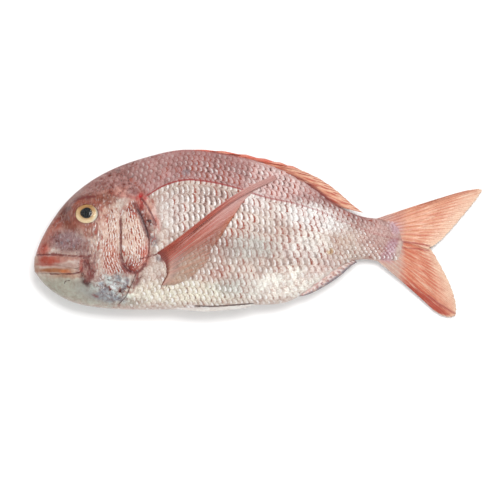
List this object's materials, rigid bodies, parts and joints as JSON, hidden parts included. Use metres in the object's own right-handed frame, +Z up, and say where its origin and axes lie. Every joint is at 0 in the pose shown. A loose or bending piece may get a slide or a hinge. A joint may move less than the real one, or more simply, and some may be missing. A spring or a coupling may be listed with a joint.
{
  "type": "whole raw sea bream",
  "caption": "Whole raw sea bream lying on its side, with folded fins, a forked tail, thick lips, gill covers and a round eye on each side.",
  "frame": {"origin": "bottom centre of the fish's bounding box, on the surface that it lies on", "axes": "+X from snout to tail, +Y from belly to back, +Z up, out of the flank that shows"},
  "size_m": [0.3506, 0.1312, 0.0484],
  "materials": {
    "skin": "wet skin",
    "scale": "wet silvery scales",
    "fin": "wet membrane and rays",
    "eye": "wet, glossy",
    "cornea": "clear"
  },
  "bodies": {
    "root": {"fish": "skin", "eye_upper": "eye", "eye_lower": "eye"}
  },
  "joints": []
}
